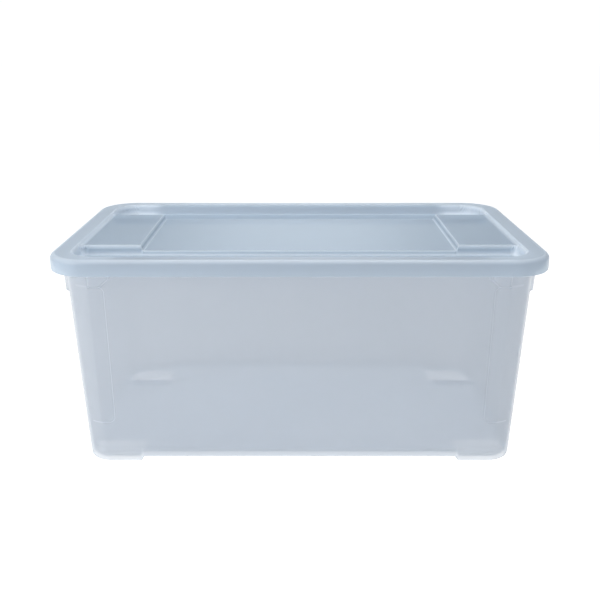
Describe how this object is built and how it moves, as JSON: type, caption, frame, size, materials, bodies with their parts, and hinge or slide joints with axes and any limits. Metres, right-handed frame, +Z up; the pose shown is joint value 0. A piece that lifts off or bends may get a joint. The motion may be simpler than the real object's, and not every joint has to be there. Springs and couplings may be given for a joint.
{
  "type": "shoe box",
  "caption": "Translucent lidded storage box for a pair of shoes: a drafted tub on corner feet with a lift-off lid that is grooved on top so that boxes stack.",
  "frame": {"origin": "middle of the plane that the four feet stand on", "axes": "+X along the box's length to the right, +Y towards the back, +Z up"},
  "size_m": [0.41, 0.239, 0.187],
  "materials": {
    "tub_plastic": "milky translucent natural polypropylene, smooth with a soft gloss",
    "lid_plastic": "milky translucent natural polypropylene, smooth with a soft gloss"
  },
  "bodies": {
    "tub": {"tub": "tub_plastic"},
    "lid": {"lid": "lid_plastic"}
  },
  "joints": [
    {"name": "lid_lift", "type": "slide", "parent": "tub", "child": "lid", "axis": [0, 0, 1], "range_m": [0, 0.15]}
  ]
}
